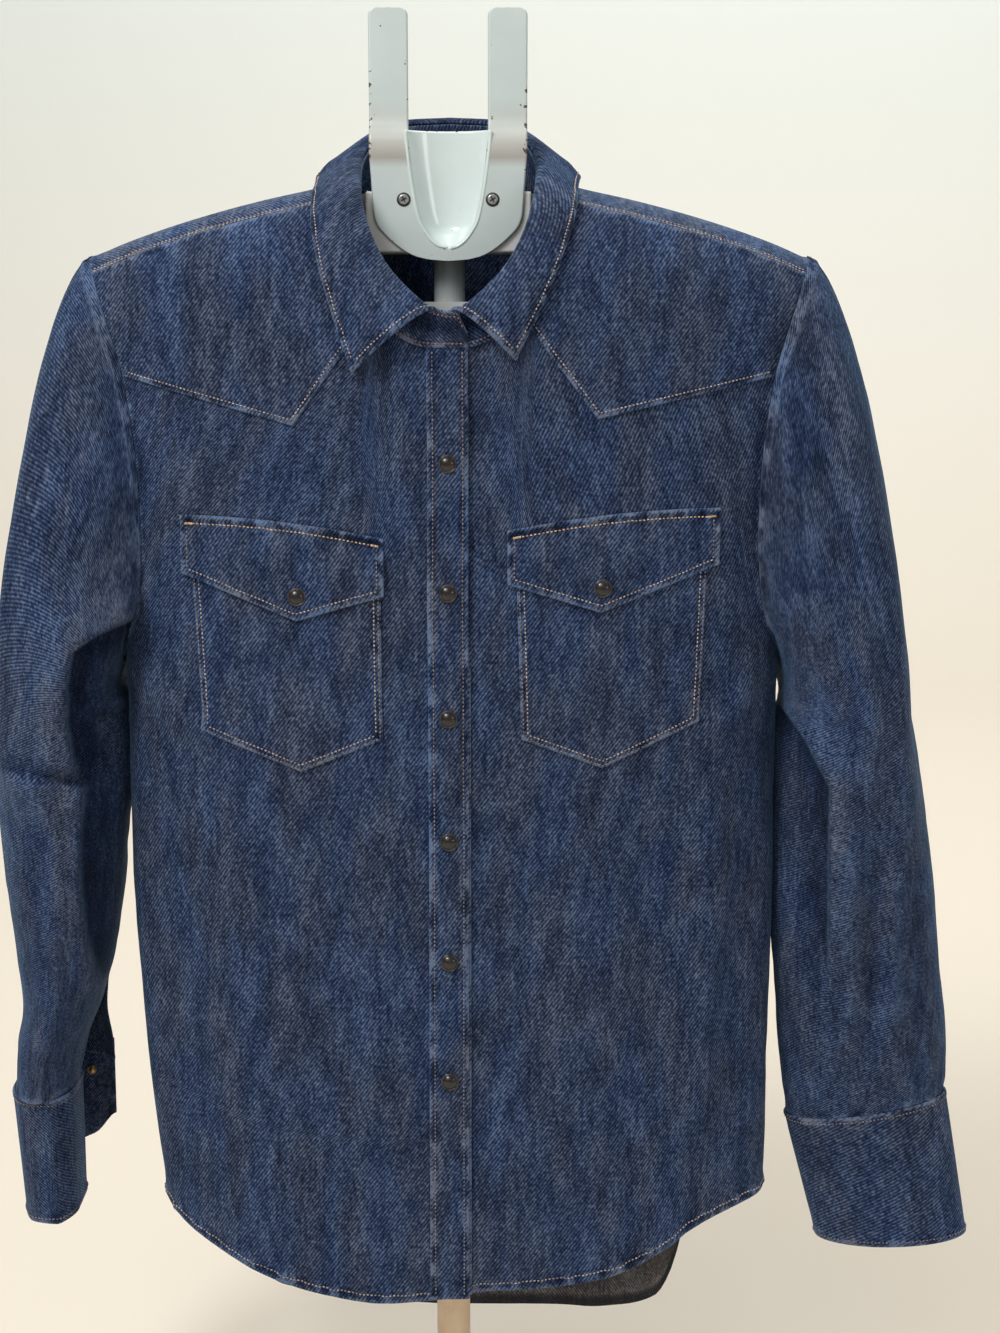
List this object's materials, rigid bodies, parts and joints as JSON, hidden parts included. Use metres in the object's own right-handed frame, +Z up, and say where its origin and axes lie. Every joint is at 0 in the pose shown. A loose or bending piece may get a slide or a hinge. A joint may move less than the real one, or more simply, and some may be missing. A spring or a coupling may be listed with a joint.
{
  "type": "denim shirt on a pole hanger",
  "caption": "Snap-front western denim shirt with pointed yokes, flapped chest pockets and turned-down collar, hanging on a pole hanger with a two-pronged cradle bracket.",
  "frame": {"origin": "middle of the flat lower end of the pole that holds the hanger up", "axes": "+Z up along the pole, the shirt's front faces -Y, +X to the viewer's right, which is the wearer's left"},
  "size_m": [0.6218, 0.1679, 0.926],
  "materials": {
    "denim": "indigo twill, matt, with pale flecks and worn edges",
    "topstitch": "tan and orange sewing thread",
    "snap_cap": "dark pearl cap in a gunmetal rim",
    "hanger_plastic": "white moulded plastic",
    "bracket_paint": "white gloss paint with small chips",
    "pole_tube": "pale grey lacquer",
    "pole_wood": "light satin wood",
    "screw_steel": "zinc-plated"
  },
  "bodies": {
    "root": {"front_right": "denim", "front_left": "denim", "back": "denim", "back_yoke": "denim", "front_yoke_right": "denim", "front_yoke_left": "denim", "placket": "denim", "pocket_right": "denim", "pocket_left": "denim", "flap_right": "denim", "flap_left": "denim", "collar_stand": "denim", "collar_fall": "denim", "sleeve_right": "denim", "sleeve_left": "denim", "cuff_right": "denim", "cuff_left": "denim", "snap_front_1": "snap_cap", "snap_front_2": "snap_cap", "snap_front_3": "snap_cap", "snap_front_4": "snap_cap", "snap_front_5": "snap_cap", "snap_front_6": "snap_cap", "snap_collar": "snap_cap", "snap_flap_right": "snap_cap", "snap_flap_left": "snap_cap", "snap_cuff_left_1": "snap_cap", "snap_cuff_left_2": "snap_cap", "hanger_block": "hanger_plastic", "hanger_arm_right": "hanger_plastic", "hanger_arm_left": "hanger_plastic", "pole_clip": "hanger_plastic", "bracket": "bracket_paint", "pole": "pole_tube", "pole_foot": "pole_wood", "screw_right": "screw_steel", "screw_left": "screw_steel"}
  },
  "joints": []
}
